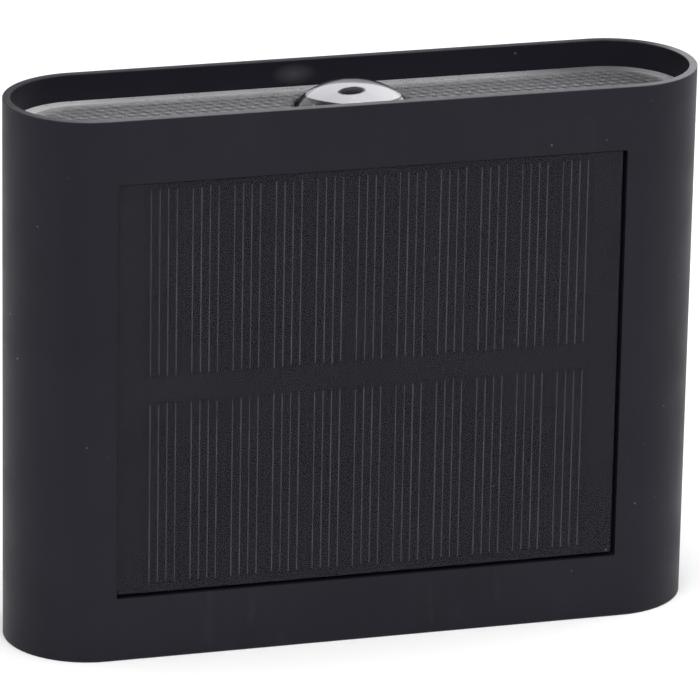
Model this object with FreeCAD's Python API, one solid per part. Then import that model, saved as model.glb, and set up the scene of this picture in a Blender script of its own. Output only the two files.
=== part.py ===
import FreeCAD, Part
import math
import os

os.makedirs("parts", exist_ok=True)

V = FreeCAD.Vector

# ---------------------------------------------------------------- driving dimensions (mm)
# Frame: origin at the centre of the flat rear face, +Z up, +X to the right seen from the
# front, front face at -Y. The body is a stadium-section sleeve, open at top and bottom.
BODY_W = 120.0  # overall width, X
BODY_D = 28.6  # overall depth, Y
BODY_H = 95.3  # overall height, Z
WALL = 1.4  # sleeve wall
RIM_ROUND = 0.22  # softened rim edges

WINDOW_W, WINDOW_H = 88.0, 73.0  # window in the front face
WINDOW_DEPTH = 2.3
WINDOW_CORNER = 0.3
PAD_BACK = 1.2  # material behind the window floor

PANEL_GAP = 0.45  # gap all round between the panel and its window
PANEL_RECESS = 0.4  # panel face below the front face
PANEL_X, PANEL_Z = -0.3, 0.22  # the panel sits towards the upper left of its window
TAPE_T = 0.5
BACKBOARD_T = 0.8
CELL_T = 0.2
COVER_T = 0.6
CELL_PITCH = 7.12
CELL_W = 6.85
CELL_ROWS = ((2.2, 35.4), (-34.6, -2.1))
CELL_COUNT = 11
CELL_ARRAY_X = -0.45  # centre of the cell array

PLATE_DROP = 4.62  # lens plate face below the rim
PLATE_T = 1.6
PLATE_GAP = 0.12
DOME_R = 14.2  # sphere radius of the dome
DOME_H = 4.22  # dome height above the plate
LED_RX, LED_RY = 2.5, 1.45  # half axes of the oval LED body
WINDOW_RX, WINDOW_RY, WINDOW_X = 2.1, 1.18, -0.3  # dark window on its face
LED_WINDOW_Z = 43.77  # face of the LED window, inside the dome

DECK_FLOOR_T = 1.4
DECK_WALL_T = 1.2
DECK_GASKET_T = 0.8
SHELF_T = 2.0
SHELF_W = 2.2
DECK_SCREW_X = 36.7
DECK_SCREW_Y = -12.3
SEAT_R = 8.8  # locating ring of the LED board on the deck floor
SEAT_WALL = 1.1
LED_BOARD_T = 0.9
REFLECTOR_T = 0.3
LEAD_X = 3.6  # where the wires come up through the LED board

COVER_W, COVER_H, REAR_T = 88.8, 70.7, 2.0  # rear cover
COVER_CORNER = 4.0
COVER_GAP = 0.15
LEDGE_T = 2.2
LEDGE_OPEN_W, LEDGE_OPEN_H, LEDGE_OPEN_R = 79.8, 61.8, 11.0
SEAL_W, SEAL_H, SEAL_R = 84.2, 66.2, 13.0  # centre line of the rear gasket
SEAL_RING, SEAL_T = 1.4, 1.1
COVER_SCREW_X, COVER_SCREW_Z = 41.3, 32.25

KEY_X, KEY_Z = 25.0, 16.5  # hanging keyholes: centre of the round entry
KEY_R, KEY_SLOT, KEY_RISE = 4.2, 4.6, 7.0
KEY_POCKET = 5.0  # room behind the cover plate for the screw head

BUTTON_Z = -16.0
BUTTON_R = 4.5
BUTTON_BORE = 4.6
BUTTON_TRAVEL = 1.2

BATT_R, BATT_L = 7.05, 49.2
BATT_Y, BATT_Z = -16.4, 14.0

BOARD_W, BOARD_Z0, BOARD_Z1 = 52.0, -29.0, 1.0
BOARD_FRONT, BOARD_BACK = -14.6, -13.0

WIRE_R = 0.6

# ---------------------------------------------------------------- derived
XF = BODY_W / 2 - BODY_D / 2  # end of the flat part
RO = BODY_D / 2  # outer end radius
YC = -BODY_D / 2  # middle plane
ZT = BODY_H / 2
RI = RO - WALL
POCKET_FLOOR = -BODY_D + WINDOW_DEPTH
PAD_IN = POCKET_FLOOR + PAD_BACK
PLATE_TOP = ZT - PLATE_DROP
PLATE_BOT = PLATE_TOP - PLATE_T
DECK_FLOOR_TOP = 40.1
DECK_FLOOR_BOT = DECK_FLOOR_TOP - DECK_FLOOR_T
SHELF_TOP = DECK_FLOOR_BOT - DECK_GASKET_T
SHELF_BOT = SHELF_TOP - SHELF_T


def stadium(r, z0, z1, xf=XF):
    """Upright prism of stadium section on the body's middle plane."""
    a, b = V(-xf, YC - r, z0), V(xf, YC - r, z0)
    c, d = V(xf, YC + r, z0), V(-xf, YC + r, z0)
    w = Part.Wire(
        [
            Part.LineSegment(a, b).toShape(),
            Part.Arc(b, V(xf + r, YC, z0), c).toShape(),
            Part.LineSegment(c, d).toShape(),
            Part.Arc(d, V(-xf - r, YC, z0), a).toShape(),
        ]
    )
    return Part.Face(w).extrude(V(0, 0, z1 - z0))


def rrect(w, h, r, y0, y1, cx=0.0, cz=0.0):
    """Rounded rectangle in the XZ plane, drawn out along Y from y0 to y1."""
    if r <= 0:
        return box(cx - w / 2, y0, cz - h / 2, cx + w / 2, y1, cz + h / 2)
    x0, x1, z0, z1 = cx - w / 2, cx + w / 2, cz - h / 2, cz + h / 2
    k = r * (1 - math.sqrt(0.5))
    p = lambda x, z: V(x, y0, z)
    e = [
        Part.LineSegment(p(x0 + r, z0), p(x1 - r, z0)).toShape(),
        Part.Arc(p(x1 - r, z0), p(x1 - k, z0 + k), p(x1, z0 + r)).toShape(),
        Part.LineSegment(p(x1, z0 + r), p(x1, z1 - r)).toShape(),
        Part.Arc(p(x1, z1 - r), p(x1 - k, z1 - k), p(x1 - r, z1)).toShape(),
        Part.LineSegment(p(x1 - r, z1), p(x0 + r, z1)).toShape(),
        Part.Arc(p(x0 + r, z1), p(x0 + k, z1 - k), p(x0, z1 - r)).toShape(),
        Part.LineSegment(p(x0, z1 - r), p(x0, z0 + r)).toShape(),
        Part.Arc(p(x0, z0 + r), p(x0 + k, z0 + k), p(x0 + r, z0)).toShape(),
    ]
    return Part.Face(Part.Wire(e)).extrude(V(0, y1 - y0, 0))


def box(x0, y0, z0, x1, y1, z1):
    return Part.makeBox(x1 - x0, y1 - y0, z1 - z0, V(x0, y0, z0))


def cyl_y(x, z, r, y0, y1):
    return Part.makeCylinder(r, y1 - y0, V(x, y0, z), V(0, 1, 0))


def cyl_z(x, y, r, z0, z1):
    return Part.makeCylinder(r, z1 - z0, V(x, y, z0), V(0, 0, 1))


def cyl_x(y, z, r, x0, x1):
    return Part.makeCylinder(r, x1 - x0, V(x0, y, z), V(1, 0, 0))


def mirror_z(s):
    return s.mirror(V(0, 0, 0), V(0, 0, 1))


def revolve_z(points, x=0.0, y=YC):
    """Full turn of a closed (r, z) outline about an upright axis."""
    ps = [V(x + r, y, z) for r, z in points]
    f = Part.Face(Part.makePolygon(ps + [ps[0]]))
    return f.revolve(V(x, y, 0), V(0, 0, 1), 360)


def solids(shape):
    """One shape of only the solids of a result."""
    found = shape.Solids
    return found[0] if len(found) == 1 else Part.makeCompound(found)


def save(name, *shapes):
    out = []
    for s in shapes:
        out += s.Solids
    shape = out[0] if len(out) == 1 else Part.makeCompound(out)
    if not shape.isValid():
        shape = shape.copy()
        shape.fix(0.01, 0.01, 0.01)
    shape.exportStep("parts/%s.step" % name)
    print("%-26s solids %d volume %9.2f valid %s" % (name, len(out), shape.Volume, shape.isValid()))


# ---------------------------------------------------------------- housing
outer = stadium(RO, -ZT, ZT)
bore = stadium(RI, -ZT - 1, ZT + 1)
sleeve = outer.cut(bore)
rims = []
for e in sleeve.Edges:
    b = e.BoundBox
    if abs(abs(b.ZMin) - ZT) < 1e-6 and abs(b.ZMax - b.ZMin) < 1e-6:
        rims.append(e)
sleeve = sleeve.makeFillet(RIM_ROUND, rims)

front_pad = box(-XF, -BODY_D + 0.4, -SHELF_TOP, XF, PAD_IN, SHELF_TOP)
rear_ledge = box(-XF, -REAR_T - LEDGE_T, -SHELF_TOP, XF, -0.4, SHELF_TOP)
shelf = stadium(RI + 0.5, SHELF_BOT, SHELF_TOP).cut(stadium(RI - SHELF_W, SHELF_BOT - 1, SHELF_TOP + 1))
shelf_low = mirror_z(shelf)
housing = sleeve.fuse([front_pad, rear_ledge, shelf, shelf_low])

# cross ribs and bosses that take the deck screws
more = []
for sx in (-1, 1):
    for up in (1, -1):
        rib = box(sx * DECK_SCREW_X - 1.2, -BODY_D + 0.6, 31.9, sx * DECK_SCREW_X + 1.2, -0.6, SHELF_TOP)
        boss = cyl_z(sx * DECK_SCREW_X, DECK_SCREW_Y, 3.0, 29.9, DECK_FLOOR_BOT)
        for s in (rib, boss):
            more.append(s if up > 0 else mirror_z(s))
# bosses for the rear cover screws, merged with the front wall side of the ledge
for sx in (-1, 1):
    for sz in (-1, 1):
        more.append(cyl_y(sx * COVER_SCREW_X, sz * COVER_SCREW_Z, 3.2, -11.0, -REAR_T))
# board posts
POSTS = [(-23.0, -3.0), (23.0, -3.0), (-23.0, -26.0), (23.0, -26.0)]
for x, z in POSTS:
    more.append(cyl_y(x, z, 2.5, PAD_IN - 0.5, BOARD_FRONT))
housing = housing.fuse(more).removeSplitter()

# window for the panel, wire hole through its floor
housing = housing.cut(rrect(WINDOW_W, WINDOW_H, WINDOW_CORNER, -BODY_D - 1, POCKET_FLOOR))
WIRE_HOLE_X, WIRE_HOLE_Z = 31.5, -20.0
housing = housing.cut(rrect(7.0, 4.0, 1.9, POCKET_FLOOR - 1, PAD_IN + 1, WIRE_HOLE_X, WIRE_HOLE_Z))
# seat of the rear cover, opening through the ledge, gasket groove
seat = rrect(COVER_W + 2 * COVER_GAP, COVER_H + 2 * COVER_GAP, COVER_CORNER + COVER_GAP, -REAR_T, 1)
opening = rrect(LEDGE_OPEN_W, LEDGE_OPEN_H, LEDGE_OPEN_R, -REAR_T - LEDGE_T - 1, 0)
seal_out = rrect(SEAL_W + SEAL_RING, SEAL_H + SEAL_RING, SEAL_R + SEAL_RING / 2, -REAR_T - SEAL_T, -REAR_T)
seal_in = rrect(SEAL_W - SEAL_RING, SEAL_H - SEAL_RING, SEAL_R - SEAL_RING / 2, -REAR_T - SEAL_T - 1, 1)
seal = seal_out.cut(seal_in)
housing = housing.cut(seat).cut(opening).cut(seal)
# pilot holes
holes = []
for sx in (-1, 1):
    for sz in (-1, 1):
        holes.append(cyl_y(sx * COVER_SCREW_X, sz * COVER_SCREW_Z, 1.13, -10.2, 0))
        h = cyl_z(sx * DECK_SCREW_X, DECK_SCREW_Y, 1.28, 30.9, DECK_FLOOR_BOT + 1)
        holes.append(h if sz > 0 else mirror_z(h))
for x, z in POSTS:
    holes.append(cyl_y(x, z, 0.93, BOARD_FRONT - 6.0, BOARD_FRONT + 1))
for h in holes:
    housing = housing.cut(h)
save("housing", housing)

# ---------------------------------------------------------------- solar panel
PW, PH = WINDOW_W - 2 * PANEL_GAP, WINDOW_H - 2 * PANEL_GAP
y0 = -BODY_D + PANEL_RECESS
y_cell1 = y0 + COVER_T
y_cell0 = y_cell1 - CELL_T
y_board = y_cell1 + BACKBOARD_T
y_tape = y_board + TAPE_T
cells = []
for i in range(CELL_COUNT):
    cx = CELL_ARRAY_X + (i - (CELL_COUNT - 1) / 2) * CELL_PITCH
    for z0, z1 in CELL_ROWS:
        cells.append(box(cx - CELL_W / 2, y_cell0, z0, cx + CELL_W / 2, y_cell1, z1))
save("solar_cells", *cells)
film = rrect(PW, PH, 0.3, y0, y_cell1, PANEL_X, PANEL_Z).cut(Part.makeCompound(cells))
save("solar_cover_film", film)
backboard = rrect(PW, PH, 0.3, y_cell1, y_board, PANEL_X, PANEL_Z)
save("solar_backing_board", backboard)
tape = rrect(PW - 1.0, PH - 1.0, 0.5, y_board, y_tape).cut(
    rrect(7.0, 4.0, 1.9, y_board - 1, y_tape + 1, WIRE_HOLE_X, WIRE_HOLE_Z)
)
save("solar_panel_tape", tape)

# ---------------------------------------------------------------- light ends (made at the top, mirrored for the bottom)
lens = stadium(RI - PLATE_GAP, PLATE_BOT, PLATE_TOP)
dome_c = PLATE_TOP + DOME_H - DOME_R
dome = Part.makeSphere(DOME_R, V(0, YC, dome_c)).common(
    cyl_z(0, YC, 12.0, PLATE_BOT + 0.4, PLATE_TOP + DOME_H + 1)
)


def oval_z(rx, ry, z0, z1, x=0.0):
    """Upright elliptical prism on the lens axis."""
    e = Part.Ellipse(V(x, YC, z0), rx, ry)
    return Part.Face(Part.Wire(e.toShape())).extrude(V(0, 0, z1 - z0))


# solid dome with a blind pocket for the LED
pocket = oval_z(LED_RX + 0.1, LED_RY + 0.1, PLATE_BOT - 1, LED_WINDOW_Z + 0.03)
lens = lens.fuse(dome).removeSplitter().cut(pocket)

deck = stadium(RI - 0.15, DECK_FLOOR_BOT, PLATE_BOT - 0.03).cut(
    stadium(RI - 0.15 - DECK_WALL_T, DECK_FLOOR_TOP, PLATE_BOT + 1)
)
seat = cyl_z(0, YC, SEAT_R + SEAT_WALL, DECK_FLOOR_TOP - 0.2, DECK_FLOOR_TOP + 1.2).cut(
    cyl_z(0, YC, SEAT_R, DECK_FLOOR_TOP - 1, PLATE_BOT)
)
deck = deck.fuse(seat)
for sx in (-1, 1):
    deck = deck.cut(cyl_z(sx * DECK_SCREW_X, DECK_SCREW_Y, 1.45, DECK_FLOOR_BOT - 1, PLATE_BOT))
    deck = deck.cut(cyl_z(sx * LEAD_X, YC, 1.0, DECK_FLOOR_BOT - 1, PLATE_BOT))
deck = deck.removeSplitter()

deck_gasket = stadium(RI - 0.25, SHELF_TOP, DECK_FLOOR_BOT).cut(
    stadium(RI - SHELF_W + 0.1, SHELF_TOP - 1, DECK_FLOOR_BOT + 1)
)


def pan_screw(x, top, head_r, head_h, shank_r, length):
    """Upright screw with a cross recess, head top at height top."""
    z1 = top - head_h
    head = revolve_z(
        [
            (0, z1),
            (head_r, z1),
            (head_r, z1 + head_h * 0.45),
            (head_r * 0.8, top - head_h * 0.12),
            (head_r * 0.5, top),
            (0, top),
        ],
        x,
        DECK_SCREW_Y,
    )
    shank = revolve_z(
        [(0, z1 - length), (shank_r * 0.4, z1 - length), (shank_r, z1 - length + 1.6), (shank_r, z1 + 0.2), (0, z1 + 0.2)], x, DECK_SCREW_Y
    )
    s = head.fuse(shank).removeSplitter()
    for a, b in ((1.45, 0.3), (0.3, 1.45)):
        s = s.cut(box(x - a, DECK_SCREW_Y - b, top - 0.75, x + a, DECK_SCREW_Y + b, top + 1))
    return s


deck_screws = [
    pan_screw(sx * DECK_SCREW_X, DECK_FLOOR_TOP + 1.25, 2.35, 1.25, 1.25, 8.2) for sx in (-1, 1)
]

LED_Z = DECK_FLOOR_TOP + LED_BOARD_T
led_board = cyl_z(0, YC, SEAT_R - 0.2, DECK_FLOOR_TOP, LED_Z)
for sx in (-1, 1):
    led_board = led_board.cut(cyl_z(sx * LEAD_X, YC, 0.62, DECK_FLOOR_TOP - 1, LED_Z + 1))
led_body = oval_z(LED_RX, LED_RY, LED_Z, LED_WINDOW_Z - 0.17)
led_window = oval_z(WINDOW_RX, WINDOW_RY, LED_WINDOW_Z - 0.17, LED_WINDOW_Z, WINDOW_X)

# reflector disc on the board, round the LED
reflector = cyl_z(0, YC, SEAT_R - 0.3, LED_Z, LED_Z + REFLECTOR_T).cut(
    oval_z(LED_RX + 0.3, LED_RY + 0.3, LED_Z - 1, LED_Z + 1)
)

for end, f in (("top", lambda s: s), ("bottom", mirror_z)):
    save(end + "_lens", f(lens))
    save(end + "_deck", f(deck))
    save(end + "_deck_gasket", f(deck_gasket))
    save(end + "_deck_screws", *[f(s) for s in deck_screws])
    save(end + "_reflector", f(reflector))
    save(end + "_led_board", f(led_board))
    save(end + "_led", f(led_body))
    save(end + "_led_window", f(led_window))

# ---------------------------------------------------------------- rear cover, its gasket and screws
cover = rrect(COVER_W, COVER_H, COVER_CORNER, -REAR_T, 0)
# softened outer edge
edges = [e for e in cover.Edges if abs(e.BoundBox.YMin) < 1e-6 and abs(e.BoundBox.YMax) < 1e-6]
cover = cover.makeFillet(0.3, edges)
adds, cuts = [], []
for sx in (-1, 1):
    x = sx * KEY_X
    zc = KEY_Z + KEY_RISE / 2
    adds.append(rrect(13.2, 18.8, 2.0, -REAR_T - KEY_POCKET - 1.2, -REAR_T + 0.3, x, zc))
    cuts.append(rrect(10.8, 16.4, 1.2, -REAR_T - KEY_POCKET, -REAR_T, x, zc))
    cuts.append(cyl_y(x, KEY_Z, KEY_R, -REAR_T - 1, 1))
    cuts.append(box(x - KEY_SLOT / 2, -REAR_T - 1, KEY_Z, x + KEY_SLOT / 2, 1, KEY_Z + KEY_RISE))
    cuts.append(cyl_y(x, KEY_Z + KEY_RISE, KEY_SLOT / 2, -REAR_T - 1, 1))
# button guide tube, and a shallow dish round the button
adds.append(cyl_y(0, BUTTON_Z, BUTTON_BORE + 1.4, -5.2, -REAR_T + 0.3))
cuts.append(cyl_y(0, BUTTON_Z, BUTTON_BORE, -6, 1))
dish = Part.makeCone(BUTTON_BORE + 0.9, BUTTON_BORE + 2.5, 0.8, V(0, -0.8, BUTTON_Z), V(0, 1, 0))
cuts.append(dish)
# two shallow stiffening ribs inside
adds.append(box(-34, -REAR_T - 1.0, 3.0, -12, -REAR_T + 0.3, 4.2))
adds.append(box(12, -REAR_T - 1.0, 3.0, 34, -REAR_T + 0.3, 4.2))
cover = cover.fuse(adds).removeSplitter()
for c in cuts:
    cover = cover.cut(c)
for sx in (-1, 1):
    for sz in (-1, 1):
        x, z = sx * COVER_SCREW_X, sz * COVER_SCREW_Z
        cover = cover.cut(cyl_y(x, z, 1.35, -REAR_T - 1, 1))
        cover = cover.cut(Part.makeCone(1.35, 2.55, 1.2, V(x, -1.2, z), V(0, 1, 0)))
save("rear_cover", cover)
save("rear_cover_gasket", seal)

rear_screws = []
for sx in (-1, 1):
    for sz in (-1, 1):
        x, z = sx * COVER_SCREW_X, sz * COVER_SCREW_Z
        head = Part.makeCone(1.1, 2.4, 1.2, V(x, -1.27, z), V(0, 1, 0))
        shank = cyl_y(x, z, 1.1, -8.6, -1.2)
        tip = Part.makeCone(0.4, 1.1, 1.2, V(x, -9.8, z), V(0, 1, 0))
        s = head.fuse([shank, tip]).removeSplitter()
        for a, b in ((1.35, 0.28), (0.28, 1.35)):
            s = s.cut(box(x - a, -0.85, z - b, x + a, 1, z + b))
        rear_screws.append(s)
save("rear_cover_screws", *rear_screws)

# ---------------------------------------------------------------- power button and switch
BTN_FACE, BTN_END = -0.6, -6.0


def revolve_y(points, x, z):
    """Full turn of a closed (r, y) outline about an axis along Y."""
    ps = [V(x + r, y, z) for r, y in points]
    f = Part.Face(Part.makePolygon(ps + [ps[0]]))
    return f.revolve(V(x, 0, z), V(0, 1, 0), 360)


button = revolve_y(
    [
        (0, BTN_END),
        (5.5, BTN_END),
        (5.5, -5.25),
        (BUTTON_R, -5.25),
        (BUTTON_R, -3.6),
        (3.75, -3.6),
        (3.75, -2.6),
        (BUTTON_R, -2.6),
        (BUTTON_R, BTN_FACE - 0.35),
        (BUTTON_R - 0.35, BTN_FACE),
        (3.2, BTN_FACE - 0.0),
        (2.8, BTN_FACE - 0.25),
        (0, BTN_FACE - 0.25),
    ],
    0,
    BUTTON_Z,
)
save("power_button", button)
ring_torus = Part.makeTorus(4.15, 0.4, V(0, -3.1, BUTTON_Z), V(0, 1, 0))
save("button_o_ring", ring_torus)

SW = 7.0
SW_TOP = -7.4
switch_body = box(-SW / 2, BOARD_BACK, BUTTON_Z - SW / 2, SW / 2, SW_TOP, BUTTON_Z + SW / 2)
switch_body = switch_body.cut(box(-1.6, -11.6, BUTTON_Z - 1.6, 1.6, SW_TOP + 1, BUTTON_Z + 1.6))
save("switch_body", switch_body)
plunger = box(-1.5, -10.2, BUTTON_Z - 1.5, 1.5, BTN_END, BUTTON_Z + 1.5)
plunger = plunger.makeFillet(0.3, [e for e in plunger.Edges if abs(e.BoundBox.YMax - e.BoundBox.YMin) > 1])
save("switch_plunger", plunger)

# ---------------------------------------------------------------- battery and its cradle
cell_x0, cell_x1 = -24.0, -24.0 + BATT_L
battery = cyl_x(BATT_Y, BATT_Z, BATT_R, cell_x0, cell_x1)
battery = battery.makeFillet(0.6, [e for e in battery.Edges if e.BoundBox.XMax - e.BoundBox.XMin < 1e-6])
battery = battery.fuse(cyl_x(BATT_Y, BATT_Z, 2.6, cell_x1 - 0.2, cell_x1 + 1.0)).removeSplitter()
save("battery_cell", battery)

CR_Y0 = PAD_IN + 0.4
cradle = box(-28.6, CR_Y0, BATT_Z - 8.6, 28.6, BATT_Y + 3.0, BATT_Z + 8.6)
cradle = cradle.cut(cyl_x(BATT_Y, BATT_Z, BATT_R + 0.12, -26.9, 26.9))
cradle = cradle.cut(box(-26.9, BATT_Y, BATT_Z - 6.6, 26.9, BATT_Y + 6, BATT_Z + 6.6))
# relief between the end walls and the cell, and finger notches in the side walls
for x0, x1 in ((-26.9, -22.5), (23.5, 26.9)):
    cradle = cradle.cut(box(x0, BATT_Y - 6.2, BATT_Z - 6.6, x1, BATT_Y + 6, BATT_Z + 6.6))
cradle = cradle.cut(box(-14, BATT_Y - 2.5, BATT_Z - 10, 14, BATT_Y + 6, BATT_Z + 10))
# slots for the contact tabs
TAB_Y0, TAB_Y1 = BATT_Y - 0.25, BATT_Y + 0.25
for sx in (-1, 1):
    x0, x1 = sorted((sx * 26.0, sx * 29.5))
    cradle = cradle.cut(box(x0, TAB_Y0 - 0.1, BATT_Z - 1.7, x1, TAB_Y1 + 0.1, BATT_Z + 1.7))
cradle = cradle.removeSplitter()
save("battery_cradle", cradle)
save("battery_cradle_tape", box(-22, PAD_IN, BATT_Z - 6, 22, CR_Y0, BATT_Z + 6))

plus = box(26.3, BATT_Y - 4.5, BATT_Z - 4.5, 26.8, BATT_Y + 4.5, BATT_Z + 4.5)
plus = plus.fuse(box(26.7, TAB_Y0, BATT_Z - 1.5, 30.6, TAB_Y1, BATT_Z + 1.5)).removeSplitter()
save("battery_positive_contact", plus)
minus = box(-26.8, BATT_Y - 4.5, BATT_Z - 4.5, -26.3, BATT_Y + 4.5, BATT_Z + 4.5)
minus = minus.fuse(box(-30.6, TAB_Y0, BATT_Z - 1.5, -26.7, TAB_Y1, BATT_Z + 1.5)).removeSplitter()
# conical contact spring, as stacked rings that touch each other and the plate
coils = [minus]
SPRING_WIRE = 0.3
for i, r in enumerate((3.8, 3.45, 3.1, 2.75, 2.4)):
    x = -26.1 + i * 0.45
    coils.append(Part.makeTorus(r, SPRING_WIRE, V(x, BATT_Y, BATT_Z), V(1, 0, 0)))
spring = coils[0].fuse(coils[1:])
save("battery_negative_spring", solids(spring))

# ---------------------------------------------------------------- main board and what is on it
board = rrect(BOARD_W, BOARD_Z1 - BOARD_Z0, 1.5, BOARD_FRONT, BOARD_BACK, 0, (BOARD_Z0 + BOARD_Z1) / 2)
for x, z in POSTS:
    board = board.cut(cyl_y(x, z, 1.2, BOARD_FRONT - 1, BOARD_BACK + 1))
save("main_board", board)

B = BOARD_BACK
chip = box(-16.5, B + 0.15, -12.0, -11.5, B + 1.6, -8.1)
legs = []
for i in range(4):
    x = -15.9 + i * 1.27
    for s in (-1, 1):
        zc = -10.05 + s * 2.45
        legs.append(box(x - 0.2, B, zc - 0.5, x + 0.2, B + 0.35, zc + 0.5))
chip = chip.fuse(legs).removeSplitter()
save("control_chip", chip)

coil = cyl_y(14.0, -11.0, 3.0, B, B + 3.2)
coil = coil.cut(cyl_y(14.0, -11.0, 3.5, B + 0.7, B + 2.5).cut(cyl_y(14.0, -11.0, 2.2, B + 0.2, B + 3)))
save("charge_inductor", coil)

can = cyl_y(14.0, -19.4, 2.5, B, B + 5.2)
can = can.makeFillet(0.35, [e for e in can.Edges if abs(e.BoundBox.YMin - (B + 5.2)) < 1e-6])
save("smoothing_capacitor", can)

smd = []
for x, z, w, h, t in (
    (-19.5, -13.5, 1.6, 0.9, 0.5),
    (-19.5, -16.0, 1.6, 0.9, 0.5),
    (-19.5, -18.5, 1.6, 0.9, 0.5),
    (-14.0, -15.6, 2.0, 1.3, 0.9),
    (-14.0, -18.2, 2.9, 1.6, 1.1),
    (-9.0, -12.0, 0.9, 1.6, 0.5),
    (-9.0, -20.0, 0.9, 1.6, 0.5),
    (8.0, -8.5, 1.6, 0.9, 0.5),
    (8.0, -21.5, 2.0, 1.3, 0.9),
    (20.0, -11.0, 1.3, 2.0, 0.9),
    (20.0, -16.0, 0.9, 1.6, 0.5),
    (20.0, -20.0, 0.9, 1.6, 0.5),
):
    smd.append(box(x - w / 2, B, z - h / 2, x + w / 2, B + t, z + h / 2))
save("small_components", *smd)

# wire connectors: (centre x, z edge that the wires leave by, direction)
CONN = {"battery": (-12.0, 1), "top_led": (12.0, 1), "bottom_led": (-12.0, -1), "panel": (12.0, -1)}
CONN_H = 4.2
conns = []
for x, s in CONN.values():
    z_out = -0.6 if s > 0 else -27.6
    z_in = z_out - s * CONN_H
    z0, z1 = sorted((z_out, z_in))
    c = box(x - 3.0, B, z0, x + 3.0, B + 3.6, z1)
    for dx in (-1.25, 1.25):
        zz0, zz1 = sorted((z_out + s * 1.0, z_out - s * 2.2))
        c = c.cut(cyl_z(x + dx, B + 1.8, WIRE_R + 0.03, zz0, zz1))
    conns.append(c)
save("wire_connectors", *conns)

bs = []
for x, z in POSTS:
    head = revolve_y([(0, B), (1.9, B), (1.9, B + 0.7), (1.4, B + 1.2), (0, B + 1.2)], x, z)
    shank = cyl_y(x, z, 0.9, B - 6.4, B + 0.1)
    s = head.fuse(shank).removeSplitter()
    for a, b in ((1.1, 0.22), (0.22, 1.1)):
        s = s.cut(box(x - a, B + 0.6, z - b, x + a, B + 2, z + b))
    bs.append(s)
save("board_screws", *bs)


# ---------------------------------------------------------------- wires, along their routes inside the case
def wire(points, radius=WIRE_R, bend=2.0):
    """Round wire along straight runs joined by tangent arcs."""
    ps = [V(*p) for p in points]
    edges, start, length = [], ps[0], 0.0
    for i in range(1, len(ps) - 1):
        a, b, c = ps[i - 1], ps[i], ps[i + 1]
        u, w = (a - b), (c - b)
        la, lc = u.Length, w.Length
        u.normalize()
        w.normalize()
        turn = math.pi - math.acos(max(-1.0, min(1.0, u.dot(w))))
        t = bend * math.tan(turn / 2)
        t = min(t, 0.45 * min(la, lc))
        r = t / math.tan(turn / 2)
        p, q = b + u * t, b + w * t
        mid_dir = u + w
        mid_dir.normalize()
        centre = b + mid_dir * (r / math.cos(turn / 2))
        m = centre - mid_dir * r
        if (p - start).Length > 1e-6:
            edges.append(Part.LineSegment(start, p).toShape())
            length += (p - start).Length
        edges.append(Part.Arc(p, m, q).toShape())
        length += r * turn
        start = q
    edges.append(Part.LineSegment(start, ps[-1]).toShape())
    length += (ps[-1] - start).Length
    path = Part.Wire(edges)
    d = (ps[1] - ps[0]).normalize()
    ring = Part.Wire([Part.makeCircle(radius, ps[0], d)])
    s = path.makePipeShell([ring], True, False)
    want = math.pi * radius**2 * length
    if abs(s.Volume - want) > 0.02 * want:
        print("  wire volume", s.Volume, "wanted", want)
    return s


YW = B + 1.8  # wires leave the connectors at this depth
ZU, ZD = -0.6 - 2.0, -27.6 + 2.0  # wire ends inside the connectors
# battery: down the outside of the cradle to both contact tabs
save(
    "battery_wire_red",
    wire(
        [
            (-10.75, YW, ZU),
            (-10.75, YW, 0.9),
            (-10.75, -14.0, 3.2),
            (29.4, -14.0, 3.2),
            (29.4, -12.2, 7.5),
            (29.4, -12.2, BATT_Z),
            (29.4, TAB_Y1, BATT_Z),
        ],
        bend=1.6,
    ),
)
save(
    "battery_wire_black",
    wire([(-13.25, YW, ZU), (-13.25, YW, 2.4), (-29.4, YW, 2.4), (-29.4, YW, BATT_Z), (-29.4, TAB_Y1, BATT_Z)]),
)
# top light: up behind the battery, forward and up through the deck floor
yb = BATT_Y + BATT_R + 1.15
for name, x, xe in (("red", 13.25, LEAD_X), ("black", 10.75, -LEAD_X)):
    save(
        "top_led_wire_" + name,
        wire(
            [
                (x, YW, ZU),
                (x, YW, 0.8),
                (x, yb, 5.2),
                (x, yb, 24.0),
                (xe, YC, 29.5),
                (xe, YC, LED_Z - 0.1),
            ],
            bend=2.4,
        ),
    )
# bottom light: down past the board edge and through the deck floor
for name, x, xe, za, zb in (
    ("red", -10.75, LEAD_X, -29.6, -30.6),
    ("black", -13.25, -LEAD_X, -31.8, -32.8),
):
    save(
        "bottom_led_wire_" + name,
        wire([(x, YW, ZD), (x, YW, za), (xe, YC, zb), (xe, YC, -LED_Z + 0.1)], bend=1.5),
    )
# panel: from the pads on the back of the panel through the window floor
for name, x, xe, zl in (("red", 13.25, 30.0, -31.0), ("black", 10.75, 33.0, -33.0)):
    save(
        "panel_wire_" + name,
        wire(
            [
                (x, YW, ZD),
                (x, YW, zl),
                (xe, YW, zl),
                (xe, -19.0, zl),
                (xe, -19.0, WIRE_HOLE_Z),
                (xe, y_board, WIRE_HOLE_Z),
            ],
            bend=2.0,
        ),
    )
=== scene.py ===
import math
import random
import bmesh
import bpy
from mathutils import Matrix, Vector
from mathutils.geometry import delaunay_2d_cdt


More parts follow.
